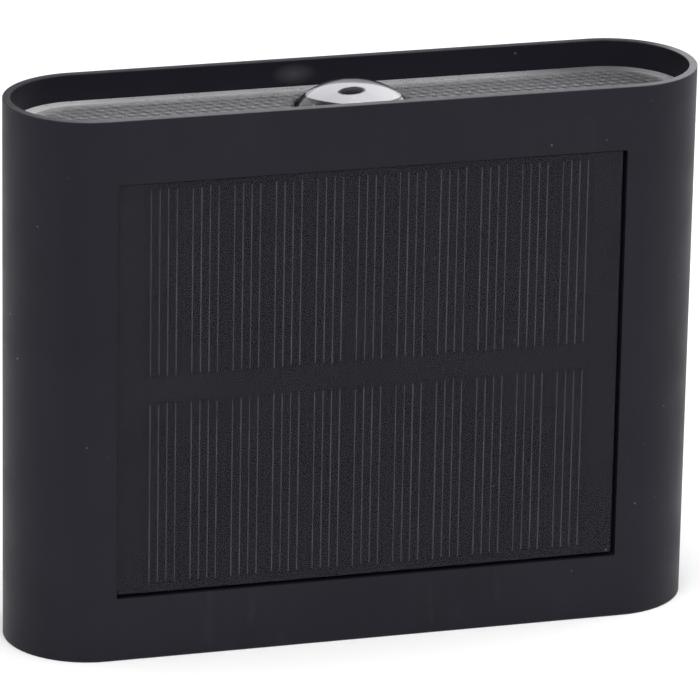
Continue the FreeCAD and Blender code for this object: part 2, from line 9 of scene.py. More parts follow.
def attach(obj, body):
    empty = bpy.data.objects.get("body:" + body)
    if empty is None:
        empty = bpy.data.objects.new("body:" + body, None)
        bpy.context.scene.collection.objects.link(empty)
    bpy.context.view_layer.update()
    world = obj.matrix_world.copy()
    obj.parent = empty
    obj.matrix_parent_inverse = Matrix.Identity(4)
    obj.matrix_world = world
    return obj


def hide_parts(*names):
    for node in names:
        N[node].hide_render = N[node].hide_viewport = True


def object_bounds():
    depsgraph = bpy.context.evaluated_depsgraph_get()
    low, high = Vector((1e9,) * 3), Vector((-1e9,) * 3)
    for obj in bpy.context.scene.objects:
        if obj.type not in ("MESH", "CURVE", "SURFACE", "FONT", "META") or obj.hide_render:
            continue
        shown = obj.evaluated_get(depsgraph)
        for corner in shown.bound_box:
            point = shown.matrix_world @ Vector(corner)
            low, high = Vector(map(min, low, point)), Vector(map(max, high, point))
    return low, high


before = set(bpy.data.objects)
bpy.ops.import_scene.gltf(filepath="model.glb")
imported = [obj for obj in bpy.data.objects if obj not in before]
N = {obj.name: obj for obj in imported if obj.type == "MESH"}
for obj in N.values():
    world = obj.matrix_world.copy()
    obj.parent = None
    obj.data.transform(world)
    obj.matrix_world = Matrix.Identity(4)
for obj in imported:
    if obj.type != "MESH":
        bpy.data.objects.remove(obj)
CAD_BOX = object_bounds()

scene = bpy.context.scene
MM = 0.001
YC = -14.3

# ---------------------------------------------------------------- camera, fitted to the outline of the object
F_PX, DIST = 6291.88, 1069.53
YAW, PITCH, ROLL = map(math.radians, (-16.249, 19.372, 1.0311))
OX, OY = 0.1711, -0.4362
back = Vector((math.sin(YAW) * math.cos(PITCH), -math.cos(YAW) * math.cos(PITCH), math.sin(PITCH)))
right = Vector((math.cos(YAW), math.sin(YAW), 0))
up = back.cross(right)
r2 = math.cos(ROLL) * right + math.sin(ROLL) * up
u2 = -math.sin(ROLL) * right + math.cos(ROLL) * up
cam_data = bpy.data.cameras.new("camera")
cam_data.sensor_width = 36.0
cam_data.lens = F_PX * 36.0 / 700.0
cam_data.clip_start, cam_data.clip_end = 0.05, 20.0
camera = bpy.data.objects.new("camera", cam_data)
scene.collection.objects.link(camera)
centre = Vector((0, YC, 0)) + OX * r2 + OY * u2 + DIST * back
m = Matrix((r2, u2, back)).transposed().to_4x4()
m.translation = centre * MM
camera.matrix_world = m
scene.camera = camera


# ---------------------------------------------------------------- node material helpers
class Mat:
    """A node material on one Principled shader, with patterns laid out in object space (metres)."""

    def __init__(self, name, base=(0.5, 0.5, 0.5), rough=0.5, **sockets):
        self.m = bpy.data.materials.new(name)
        self.m.use_nodes = True
        self.nt = self.m.node_tree
        self.nt.nodes.clear()
        self.out = self.nt.nodes.new("ShaderNodeOutputMaterial")
        self.p = self.nt.nodes.new("ShaderNodeBsdfPrincipled")
        self.link(self.p.outputs[0], self.out.inputs["Surface"])
        self.p.inputs["Base Color"].default_value = (*base, 1)
        self.p.inputs["Roughness"].default_value = rough
        for k, v in sockets.items():
            self.p.inputs[k.replace("_", " ")].default_value = v
        self.coord = self.nt.nodes.new("ShaderNodeTexCoord").outputs["Object"]

    def link(self, a, b):
        self.nt.links.new(a, b)

    def node(self, kind, **values):
        n = self.nt.nodes.new(kind)
        for k, v in values.items():
            if hasattr(n, k):
                setattr(n, k, v)
            else:
                n.inputs[k].default_value = v
        return n

    def scaled(self, x, y, z, shift=(0, 0, 0)):
        """Object coordinates multiplied per axis, for stretched patterns."""
        n = self.node("ShaderNodeMapping")
        n.inputs["Scale"].default_value = (x, y, z)
        n.inputs["Location"].default_value = shift
        self.link(self.coord, n.inputs["Vector"])
        return n.outputs[0]

    def noise(self, scale, detail=2.0, rough=0.5, vector=None, distortion=0.0):
        n = self.node("ShaderNodeTexNoise", Scale=scale, Detail=detail, Roughness=rough, Distortion=distortion)
        self.link(vector or self.coord, n.inputs["Vector"])
        return n.outputs["Fac"]

    def voronoi(self, scale, feature="F1", output="Distance", vector=None, randomness=1.0):
        n = self.node("ShaderNodeTexVoronoi", feature=feature, Scale=scale, Randomness=randomness)
        self.link(vector or self.coord, n.inputs["Vector"])
        return n.outputs[output]

    def maths(self, op, a, b=None, c=None, clamp=False):
        n = self.node("ShaderNodeMath", operation=op, use_clamp=clamp)
        for i, v in enumerate((a, b, c)):
            if v is None:
                continue
            if isinstance(v, (int, float)):
                n.inputs[i].default_value = v
            else:
                self.link(v, n.inputs[i])
        return n.outputs[0]

    def span(self, value, lo, hi, to_lo=0.0, to_hi=1.0):
        """Linear remap of value from lo..hi to to_lo..to_hi, clamped."""
        n = self.node("ShaderNodeMapRange")
        for k, v in zip(("From Min", "From Max", "To Min", "To Max"), (lo, hi, to_lo, to_hi)):
            n.inputs[k].default_value = v
        self.link(value, n.inputs["Value"])
        return n.outputs[0]

    def mix(self, fac, a, b):
        """Colour mix; a and b are colours or sockets."""
        n = self.node("ShaderNodeMix", data_type="RGBA")
        ins = [s for s in n.inputs if s.type == "RGBA"]
        if isinstance(fac, (int, float)):
            n.inputs[0].default_value = fac
        else:
            self.link(fac, n.inputs[0])
        for s, v in zip(ins, (a, b)):
            if isinstance(v, tuple):
                s.default_value = (*v, 1)
            else:
                self.link(v, s)
        return [s for s in n.outputs if s.type == "RGBA"][0]

    def xyz(self):
        n = self.node("ShaderNodeSeparateXYZ")
        self.link(self.coord, n.inputs[0])
        return n.outputs

    def random_of(self, colour):
        """One channel of a cell's random colour."""
        n = self.node("ShaderNodeSeparateColor")
        self.link(colour, n.inputs[0])
        return n.outputs[0]

    def colour(self, socket):
        self.link(socket, self.p.inputs["Base Color"])

    def roughness(self, socket):
        self.link(socket, self.p.inputs["Roughness"])

    def bump(self, height, strength, distance, before=None):
        n = self.node("ShaderNodeBump", Strength=strength, Distance=distance)
        self.link(height, n.inputs["Height"])
        if before is not None:
            self.link(before, n.inputs["Normal"])
        return n.outputs[0]

    def normal(self, socket):
        self.link(socket, self.p.inputs["Normal"])


def dust(mt, scale, size, share, seed=0.0):
    """Sparse small specks: a mask that is 1 on a few tiny spots, one in some of the cells."""
    v = mt.scaled(1, 1, 1, (seed, seed * 0.7, seed * 1.3))
    d = mt.voronoi(scale, "F1", "Distance", v)
    c = mt.random_of(mt.voronoi(scale, "F1", "Color", v))
    d = mt.maths("ADD", d, mt.span(mt.noise(scale * 40, 2, 0.6), 0.3, 0.7, -size * 0.45, size * 0.45))
    spot = mt.span(d, size * 0.35, size * 0.75, 1.0, 0.0)
    pick = mt.maths("LESS_THAN", c, share)
    return mt.maths("MULTIPLY", spot, pick)


def black_plastic(name, base, rough=0.5, grain=1.0, specks=1.0, spec=0.30, rims=False):
    """Moulded plastic with spark-eroded grain, faint flow streaks, a few scuffs and dust specks; with rims, also a
    painted highlight on the rim faces and a painted reflection on the rear wall.
    """
    mt = Mat(name, base, rough, Specular_IOR_Level=spec)
    # colour: slow cloudiness and faint upright streaks
    cloud = mt.noise(55, 3, 0.55)
    streak = mt.noise(1.0, 3, 0.6, mt.scaled(420, 420, 14))
    tone = mt.maths("ADD", mt.span(cloud, 0.3, 0.7, -0.10, 0.10), mt.span(streak, 0.3, 0.7, -0.05, 0.05))
    fine = mt.noise(5200, 2, 0.6)
    tone = mt.maths("ADD", tone, mt.span(fine, 0.3, 0.7, -0.10, 0.10))
    lo = tuple(x * 0.72 for x in base)
    hi = tuple(x * 1.28 for x in base)
    col = mt.mix(mt.span(tone, -0.25, 0.25), lo, hi)
    # pale lint and dust
    d1 = dust(mt, 135, 0.036, 0.9 * specks)
    d2 = dust(mt, 260, 0.045, 0.7 * specks, 3.7)
    lint = mt.maths("MULTIPLY", mt.maths("MAXIMUM", d1, d2), mt.span(mt.noise(300, 1, 0.5), 0.35, 0.65, 0.25, 1.0))
    # rubbed patches: short pale smears
    smear = mt.noise(1.0, 4, 0.65, mt.scaled(240, 240, 60, (4.2, 0, 1.1)))
    patch = mt.noise(38, 2, 0.5, mt.scaled(1, 1, 1, (7.0, 3.0, 2.0)))
    rub = mt.maths("MULTIPLY", mt.span(smear, 0.58, 0.74), mt.span(patch, 0.56, 0.72))
    col = mt.mix(mt.maths("MULTIPLY", rub, 0.35), col, (0.05, 0.05, 0.056))
    if rims:
        # painted highlight on the rim faces: painted palest along the front and the right end, with a little rubbed
        # wear noise mixed in
        x, y, z = mt.xyz()
        edge = mt.span(mt.maths("ABSOLUTE", z), 0.04745, 0.04760)
        turn = mt.maths("MULTIPLY", mt.maths("MAXIMUM", mt.maths("ADD", x, -0.044), 0.0), 0.8)
        front = mt.span(mt.maths("SUBTRACT", y, turn), -0.024, -0.012, 1.0, 0.12)
        along = mt.span(x, -0.059, -0.044, 0.3, 0.85)
        worn_and_painted_highlight = mt.maths("MULTIPLY", mt.maths("MULTIPLY", front, along), mt.span(mt.noise(900, 4, 0.7), 0.35, 0.7, 0.75, 1.0))
        worn_and_painted_highlight = mt.maths("ADD", mt.maths("MULTIPLY", worn_and_painted_highlight, 0.92), mt.span(mt.noise(420, 3, 0.6), 0.4, 0.7, 0.02, 0.10))
        # the right end of the rims is painted paler still: painted highlight
        pale = mt.mix(mt.span(x, 0.044, 0.057), (0.155, 0.152, 0.160), (0.27, 0.265, 0.275))
        col = mt.mix(mt.maths("MULTIPLY", edge, worn_and_painted_highlight, clamp=True), col, pale)
        # painted reflection: a pale spot on the rear wall beside each dome, standing in for the dome's light thrown
        # onto the wall
        sx = mt.maths("MULTIPLY", mt.maths("ADD", x, 0.0068), 1 / 0.0040)
        sz = mt.maths("MULTIPLY", mt.maths("ADD", mt.maths("ABSOLUTE", z), -0.0452), 1 / 0.0019)
        sd = mt.maths("SQRT", mt.maths("ADD", mt.maths("MULTIPLY", sx, sx), mt.maths("MULTIPLY", sz, sz)))
        spot = mt.maths("MULTIPLY", mt.span(sd, 0.1, 1.0, 1.0, 0.0), mt.span(y, -0.003, -0.0015))
        spot = mt.maths("MULTIPLY", spot, mt.maths("LESS_THAN", y, -0.0008))
        col = mt.mix(mt.maths("MULTIPLY", spot, 0.75), col, (0.070, 0.070, 0.078))
    col = mt.mix(mt.maths("MULTIPLY", lint, 0.85), col, (0.27, 0.27, 0.28))
    mt.colour(col)
    # roughness: varies with the same patches
    r = mt.maths("ADD", mt.span(mt.noise(90, 3, 0.6), 0.3, 0.7, rough - 0.05, rough + 0.05), mt.maths("MULTIPLY", rub, -0.08))
    mt.roughness(r)
    # grain
    g1 = mt.noise(6500, 2, 0.6)
    g2 = mt.noise(2600, 1, 0.5)
    h = mt.maths("ADD", mt.maths("MULTIPLY", g1, 0.6), mt.maths("MULTIPLY", g2, 0.4))
    h = mt.maths("ADD", h, mt.maths("MULTIPLY", lint, 0.5))
    mt.normal(mt.bump(h, 0.35 * grain, 0.00003))
    return mt.m


M = {}
M["housing_plastic"] = black_plastic("housing_plastic", (0.0112, 0.0103, 0.0165), 0.50, spec=0.15, rims=True)
M["cover_plastic"] = black_plastic("cover_plastic", (0.0112, 0.0104, 0.0155), 0.47, grain=1.3, spec=0.18)
M["button_plastic"] = black_plastic("button_plastic", (0.024, 0.024, 0.027), 0.38, grain=0.5, specks=0.5, spec=0.45)
M["cradle_plastic"] = black_plastic("cradle_plastic", (0.018, 0.018, 0.019), 0.45)
M["switch_plastic"] = black_plastic("switch_plastic", (0.016, 0.016, 0.017), 0.40, grain=0.5, specks=0.4)


def deck_plastic():
    mt = Mat("deck_plastic", (0.42, 0.42, 0.43), 0.42, Specular_IOR_Level=0.4)
    cloud = mt.noise(120, 3, 0.6)
    fine = mt.noise(3000, 2, 0.6)
    t = mt.maths("ADD", mt.span(cloud, 0.3, 0.7, 0, 0.6), mt.span(fine, 0.3, 0.7, 0, 0.4))
    mt.colour(mt.mix(t, (0.50, 0.50, 0.515), (0.60, 0.60, 0.615)))
    mt.roughness(mt.span(cloud, 0.3, 0.7, 0.36, 0.50))
    mt.normal(mt.bump(fine, 0.3, 0.00002))
    return mt.m


M["deck_plastic"] = deck_plastic()


def clear_plastic():
    mt = Mat("clear_lens", (0.95, 0.955, 0.975), 0.04, IOR=1.49, Transmission_Weight=1.0, Specular_IOR_Level=0.1)
    haze = mt.noise(260, 3, 0.6)
    mt.roughness(mt.span(haze, 0.35, 0.7, 0.015, 0.04))
    mt.normal(mt.bump(mt.noise(700, 2, 0.5), 0.02, 0.00004))
    return mt.m


def frosted_border():
    """The smooth band round the edge of the plate: fine moulded frost, painted paler towards the left end as painted
    light and darker towards the right end as painted shade.
    """
    mt = Mat("clear_lens_border", (0.58, 0.58, 0.60), 0.30, IOR=1.49, Transmission_Weight=0.55)
    fine = mt.noise(4200, 3, 0.65)
    x, y, z = mt.xyz()
    cloud = mt.noise(1.0, 3, 0.6, mt.scaled(220, 900, 900))
    t = mt.maths("ADD", mt.span(fine, 0.3, 0.7, 0, 0.5), mt.span(cloud, 0.3, 0.7, 0, 0.5))
    c = mt.mix(t, (0.50, 0.50, 0.52), (0.72, 0.72, 0.735))
    # painted light: the band is painted white towards the left end
    c = mt.mix(mt.span(x, -0.058, -0.036, 0.95, 0.0), c, (1.0, 1.0, 1.0))
    # painted shade: the band is painted dark towards the right end, easing off a little at the tip
    border_painted_shade = mt.maths("MULTIPLY", mt.span(x, 0.028, 0.042), mt.span(x, 0.050, 0.056, 1.0, 0.25))
    mt.colour(mt.mix(mt.maths("MULTIPLY", border_painted_shade, 0.85), c, (0.20, 0.20, 0.205)))
    mt.roughness(mt.span(mt.noise(500, 3, 0.6), 0.3, 0.7, 0.24, 0.40))
    mt.normal(mt.bump(fine, 0.12, 0.00002))
    return mt.m


def dimpled_plate():
    """The dimpled field: clear with a little haze over the grey deck; each dimple carries a painted shade stroke in
    front of its centre and a painted highlight stroke behind it, and the field is painted paler at the left end and
    darker at the right end.
    """
    mt = Mat("clear_lens_field", (0.80, 0.80, 0.82), 0.12, IOR=1.49, Transmission_Weight=0.78, Specular_IOR_Level=0.3)
    x, y, z = mt.xyz()
    v = mt.maths("MULTIPLY", mt.maths("ADD", y, 0.0143 - 0.00088), 1 / 0.00176)
    row = mt.maths("ROUND", v)
    fy = mt.maths("MULTIPLY", mt.maths("SUBTRACT", v, row), 1.76)
    odd = mt.maths("ABSOLUTE", mt.maths("SUBTRACT", row, mt.maths("MULTIPLY", mt.maths("FLOOR", mt.maths("MULTIPLY", row, 0.5)), 2.0)))
    u = mt.maths("SUBTRACT", mt.maths("MULTIPLY", mt.maths("ADD", x, 0.00105), 1 / 0.002105), mt.maths("MULTIPLY", odd, 0.5))
    fx = mt.maths("MULTIPLY", mt.maths("SUBTRACT", u, mt.maths("ROUND", u)), 2.105)
    # painted shade: a dark stroke, an oval turned a little, in front of each dimple's centre; painted highlight: a pale
    # stroke behind it
    def stroke(cx, cy, rx, ry, turn):
        ax, ay = mt.maths("ADD", fx, -cx), mt.maths("ADD", fy, -cy)
        c, t = math.cos(turn), math.sin(turn)
        p = mt.maths("MULTIPLY", mt.maths("ADD", mt.maths("MULTIPLY", ax, c), mt.maths("MULTIPLY", ay, t)), 1 / rx)
        q = mt.maths("MULTIPLY", mt.maths("ADD", mt.maths("MULTIPLY", ax, -t), mt.maths("MULTIPLY", ay, c)), 1 / ry)
        d = mt.maths("SQRT", mt.maths("ADD", mt.maths("MULTIPLY", p, p), mt.maths("MULTIPLY", q, q)))
        return mt.span(d, 0.35, 1.0, 1.0, 0.0)

    uneven = mt.span(mt.noise(700, 3, 0.6), 0.3, 0.7, 0.55, 1.0)
    painted_shade_stroke = mt.maths("MULTIPLY", stroke(-0.12, -0.32, 0.85, 0.5, -0.6), uneven)
    painted_highlight_stroke = mt.maths("MULTIPLY", stroke(0.50, 0.42, 0.62, 0.38, -0.6), uneven)
    fine = mt.noise(3000, 3, 0.6)
    ground = mt.mix(mt.span(fine, 0.3, 0.7), (0.42, 0.42, 0.44), (0.52, 0.52, 0.54))
    # painted light at the left end and painted shade at the right end of the field
    ground = mt.mix(mt.span(x, -0.057, -0.047, 0.5, 0.0), ground, (0.95, 0.95, 0.96))
    ground = mt.mix(mt.span(x, 0.032, 0.052, 0.0, 0.7), ground, (0.22, 0.22, 0.235))
    c = mt.mix(mt.maths("MULTIPLY", painted_shade_stroke, 0.9), ground, (0.06, 0.06, 0.066))
    c = mt.mix(mt.maths("MULTIPLY", painted_highlight_stroke, 0.55), c, (0.86, 0.86, 0.88))
    # the field is painted paler towards the border, with the paling cut down at the right end as painted shade
    ex = mt.maths("MAXIMUM", mt.maths("ADD", mt.maths("ABSOLUTE", x), -0.0457), 0.0)
    ey = mt.maths("ADD", y, 0.0143)
    er = mt.maths("SQRT", mt.maths("ADD", mt.maths("MULTIPLY", ex, ex), mt.maths("MULTIPLY", ey, ey)))
    er = mt.maths("ADD", er, mt.span(mt.noise(600, 2, 0.5), 0.3, 0.7, -0.0004, 0.0004))
    pale = mt.maths("MULTIPLY", mt.span(er, 0.0078, 0.0102), mt.span(x, 0.030, 0.044, 1.0, 0.2))
    mt.colour(mt.mix(pale, c, (1.0, 1.0, 1.0)))
    mt.roughness(mt.span(mt.noise(450, 3, 0.6), 0.3, 0.7, 0.09, 0.17))
    mt.normal(mt.bump(fine, 0.05, 0.00002))
    return mt.m


M["clear_lens"] = clear_plastic()
M["lens_field"] = dimpled_plate()
M["lens_border"] = frosted_border()


def cover_film():
    """Clear matt laminate over the cells, dark tinted, seen through to the conductor lines."""
    mt = Mat("cover_film", (0.0140, 0.0130, 0.0200), 0.48, Specular_IOR_Level=0.22, Alpha=0.60)
    fine = mt.noise(4200, 2, 0.6)
    cloud = mt.noise(45, 3, 0.6)
    col = mt.mix(mt.span(cloud, 0.3, 0.7), (0.0160, 0.0150, 0.0225), (0.0190, 0.0178, 0.0262))
    d = mt.maths("MAXIMUM", dust(mt, 150, 0.035, 0.8, 1.9), dust(mt, 330, 0.045, 0.6, 5.1))
    mt.colour(mt.mix(mt.maths("MULTIPLY", d, 0.8), col, (0.30, 0.30, 0.31)))
    mt.roughness(mt.span(mt.noise(110, 3, 0.6), 0.3, 0.7, 0.43, 0.54))
    mt.normal(mt.bump(fine, 0.3, 0.000025))
    return mt.m


M["cover_film"] = cover_film()


def cell_silicon():
    mt = Mat("cell_silicon", (0.0075, 0.0075, 0.0115), 0.36, Specular_IOR_Level=0.3)
    grain = mt.voronoi(700, "F1", "Color")
    v = mt.random_of(grain)
    mt.colour(mt.mix(v, (0.0062, 0.0062, 0.0095), (0.0100, 0.0098, 0.0150)))
    mt.roughness(mt.span(v, 0, 1, 0.24, 0.40))
    mt.normal(mt.bump(mt.noise(3500, 2, 0.6), 0.15, 0.00002))
    return mt.m


M["cell_silicon"] = cell_silicon()


def printed_silver(name="printed_silver"):
    """Screen-printed conductor paste: uneven, a little broken."""
    mt = Mat(name, (0.20, 0.20, 0.21), 0.5, Metallic=0.15)
    n1 = mt.noise(1.0, 3, 0.7, mt.scaled(900, 900, 160))
    n2 = mt.noise(2600, 2, 0.6)
    t = mt.maths("ADD", mt.span(n1, 0.3, 0.7, 0, 0.7), mt.span(n2, 0.3, 0.7, 0, 0.3))
    mt.colour(mt.mix(t, (0.05, 0.05, 0.058), (0.27, 0.27, 0.285)))
    mt.roughness(mt.span(n2, 0.3, 0.7, 0.42, 0.6))
    return mt.m


M["printed_silver"] = printed_silver()


def board(name, base, hi, weave=True, rough=0.45):
    """Circuit board: solder mask over a faint glass weave and copper traces."""
    mt = Mat(name, base, rough, Specular_IOR_Level=0.45)
    vec = mt.scaled(900, 900, 900)
    brick = mt.node("ShaderNodeTexChecker", Scale=1.0)
    mt.link(vec, brick.inputs["Vector"])
    weave_f = mt.span(brick.outputs["Fac"], 0, 1, 0, 0.25)
    cloud = mt.noise(300, 3, 0.6)
    trace = mt.voronoi(420, "DISTANCE_TO_EDGE", "Distance")
    lines = mt.span(trace, 0.03, 0.07, 1, 0)
    t = mt.maths("ADD", weave_f, mt.maths("MULTIPLY", lines, 0.55))
    t = mt.maths("ADD", t, mt.span(cloud, 0.3, 0.7, 0, 0.2), clamp=True)
    mt.colour(mt.mix(t, base, hi))
    mt.roughness(mt.span(cloud, 0.3, 0.7, rough - 0.08, rough + 0.08))
    mt.normal(mt.bump(mt.maths("ADD", lines, mt.maths("MULTIPLY", weave_f, 1.0)), 0.4, 0.00003))
    return mt.m


M["backing_board"] = board("backing_board", (0.0075, 0.0075, 0.0085), (0.012, 0.012, 0.013), rough=0.5)
M["board_green"] = board("board_green", (0.010, 0.085, 0.032), (0.035, 0.20, 0.075), rough=0.35)
M["led_board_white"] = board("led_board_white", (0.66, 0.66, 0.64), (0.80, 0.80, 0.78), rough=0.35)


def speckled(name, a, b, rough=0.5, scale=2500, bump=0.3, spec=0.5, metallic=0.0):
    """General moulded or sintered material with fine two-tone speckle."""
    mt = Mat(name, a, rough, Specular_IOR_Level=spec, Metallic=metallic)
    f = mt.noise(scale, 3, 0.65)
    c = mt.noise(scale / 18, 2, 0.5)
    t = mt.maths("ADD", mt.span(f, 0.3, 0.7, 0, 0.65), mt.span(c, 0.3, 0.7, 0, 0.35))
    mt.colour(mt.mix(t, a, b))
    mt.roughness(mt.span(c, 0.3, 0.7, max(0.05, rough - 0.07), rough + 0.07))
    mt.normal(mt.bump(f, bump, 0.00003))
    return mt.m


M["foam_tape"] = speckled("foam_tape", (0.025, 0.025, 0.026), (0.07, 0.07, 0.07), 0.85, 1800, 0.8, 0.2)
M["silicone_seal"] = speckled("silicone_seal", (0.095, 0.095, 0.10), (0.14, 0.14, 0.145), 0.6, 1500, 0.3, 0.35)
M["reflector_grey"] = speckled("reflector_grey", (0.055, 0.055, 0.058), (0.080, 0.080, 0.083), 0.38, 1200, 0.1, 0.4)


def led_window():
    """Dark oval LED window whose edge thins out into the clear resin."""
    mt = Mat("led_window", (0.012, 0.014, 0.024), 0.35, Specular_IOR_Level=0.04)
    x, y, z = mt.xyz()
    dx = mt.maths("MULTIPLY", mt.maths("ADD", x, 0.0003), 1 / 0.0021)
    dy = mt.maths("MULTIPLY", mt.maths("ADD", y, 0.0143), 1 / 0.00118)
    d = mt.maths("SQRT", mt.maths("ADD", mt.maths("MULTIPLY", dx, dx), mt.maths("MULTIPLY", dy, dy)))
    d = mt.maths("ADD", d, mt.span(mt.noise(1500, 2, 0.5), 0.3, 0.7, -0.06, 0.06))
    dark = mt.mix(mt.span(mt.noise(1800, 2, 0.6), 0.3, 0.7), (0.004, 0.0065, 0.018), (0.008, 0.012, 0.030))
    mt.colour(dark)
    mt.link(mt.span(d, 0.80, 1.04, 1.0, 0.0), mt.p.inputs["Alpha"])
    mt.roughness(mt.span(mt.noise(2500, 2, 0.5), 0.3, 0.7, 0.3, 0.45))
    return mt.m


M["led_window"] = led_window()
M["chip_black"] = speckled("chip_black", (0.014, 0.014, 0.015), (0.026, 0.026, 0.027), 0.55, 3500, 0.5)
M["ferrite"] = speckled("ferrite", (0.045, 0.045, 0.05), (0.085, 0.085, 0.09), 0.65, 2500, 0.6)
M["capacitor_sleeve"] = speckled("capacitor_sleeve", (0.008, 0.014, 0.045), (0.014, 0.024, 0.07), 0.3, 1500, 0.15)
M["chip_parts"] = speckled("chip_parts", (0.16, 0.11, 0.07), (0.34, 0.26, 0.18), 0.45, 900, 0.2)
M["connector_white"] = speckled("connector_white", (0.60, 0.58, 0.52), (0.74, 0.72, 0.66), 0.45, 2000, 0.2)
M["plunger_plastic"] = speckled("plunger_plastic", (0.55, 0.55, 0.55), (0.68, 0.68, 0.67), 0.4, 2000, 0.15)
M["wire_red"] = speckled("wire_red", (0.42, 0.012, 0.010), (0.55, 0.025, 0.02), 0.38, 1500, 0.15)
M["wire_black"] = speckled("wire_black", (0.010, 0.010, 0.010), (0.020, 0.020, 0.020), 0.38, 1500, 0.15)


def brushed_metal(name, base, rough=0.28, stretch=(3000, 3000, 200), metallic=1.0):
    mt = Mat(name, base, rough, Metallic=metallic)
    lines = mt.noise(1.0, 3, 0.6, mt.scaled(*stretch))
    spots = mt.noise(700, 3, 0.6)
    t = mt.maths("ADD", mt.span(lines, 0.3, 0.7, 0, 0.6), mt.span(spots, 0.3, 0.7, 0, 0.4))
    lo = tuple(x * 0.72 for x in base)
    hi = tuple(min(1, x * 1.15) for x in base)
    mt.colour(mt.mix(t, lo, hi))
    mt.roughness(mt.span(lines, 0.3, 0.7, rough - 0.1, rough + 0.12))
    mt.normal(mt.bump(lines, 0.15, 0.00002))
    return mt.m


M["screw_steel"] = brushed_metal("screw_steel", (0.66, 0.65, 0.63), 0.26, (2600, 2600, 2600))
# a paler, less metallic copy of the screw steel for the deck screws: painted glint
painted_glint_screw = brushed_metal("deck_screw_painted_glint", (0.97, 0.97, 0.96), 0.42, (2600, 2600, 2600), metallic=0.25)
M["contact_nickel"] = brushed_metal("contact_nickel", (0.68, 0.66, 0.62), 0.24)


def battery_wrap():
    mt = Mat("battery_wrap", (0.03, 0.20, 0.075), 0.25, Coat_Weight=0.4, Coat_Roughness=0.15)
    f = mt.noise(1.0, 3, 0.6, mt.scaled(60, 900, 900))
    mt.colour(mt.mix(mt.span(f, 0.3, 0.7), (0.022, 0.16, 0.06), (0.04, 0.25, 0.095)))
    mt.roughness(mt.span(f, 0.3, 0.7, 0.2, 0.34))
    mt.normal(mt.bump(f, 0.12, 0.00003))
    return mt.m


M["battery_wrap"] = battery_wrap()

# every carried-over CAD node takes the finish of its slot; the deck screws take the paler steel copy, a painted glint
for name, o in N.items():
    for ms in o.material_slots:
        slot = ms.material.name.split(".")[0] if ms.material else ""
        if slot in M:
            ms.material = painted_glint_screw if slot == "screw_steel" and "deck" in name else M[slot]


# ---------------------------------------------------------------- mesh helpers
def new_object(name, verts, faces, mats, body="case", sharp=30.0, mat_index=None, smooth=True):
    me = bpy.data.meshes.new(name)
    me.from_pydata([tuple(c * MM for c in v) for v in verts], [], faces)
    for mm in mats:
        me.materials.append(mm)
    if mat_index:
        me.polygons.foreach_set("material_index", mat_index)
    bm = bmesh.new()
    bm.from_mesh(me)
    bmesh.ops.remove_doubles(bm, verts=bm.verts, dist=1e-7)
    bmesh.ops.recalc_face_normals(bm, faces=bm.faces)
    bm.to_mesh(me)
    bm.free()
    if smooth:
        me.polygons.foreach_set("use_smooth", [True] * len(me.polygons))
        me.set_sharp_from_angle(angle=math.radians(sharp))
    me.update()
    o = bpy.data.objects.new(name, me)
    scene.collection.objects.link(o)
    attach(o, body)
    return o


# ---------------------------------------------------------------- lens plates: dimpled plate, smooth border, solid dome
XF = 45.7  # end of the straight part
PLATE_TOP, PLATE_BOT = 43.03, 41.43
LENS_R = 12.78
DOME_R, DOME_H = 14.2, 4.22
DOME_BASE = math.sqrt(DOME_R**2 - (DOME_R - DOME_H) ** 2)
COLLAR_R, COLLAR_H = 10.38, 0.10
BORDER = 2.45
PITCH_X, PITCH_Y = 2.105, 1.76
ROW_SHIFT = 0.88  # the rows straddle the centre line
DIMPLE_R, DIMPLE_D = 0.98, -0.09


def stadium_pts(r, n_arc=40, n_line=40):
    pts = []
    for i in range(n_arc + 1):
        a = -math.pi / 2 + math.pi * i / n_arc
        pts.append((XF + r * math.cos(a), YC + r * math.sin(a)))
    for i in range(1, n_line):
        pts.append((XF - 2 * XF * i / n_line, YC + r))
    for i in range(n_arc + 1):
        a = math.pi / 2 + math.pi * i / n_arc
        pts.append((-XF + r * math.cos(a), YC + r * math.sin(a)))
    for i in range(1, n_line):
        pts.append((-XF + 2 * XF * i / n_line, YC - r))
    return pts


def edge_distance(x, y, r):
    """How far inside the stadium of radius r a point lies."""
    return r - math.hypot(max(abs(x) - XF, 0.0), y - YC)


def circle_pts(r, n):
    return [(r * math.cos(2 * math.pi * i / n), YC + r * math.sin(2 * math.pi * i / n)) for i in range(n)]


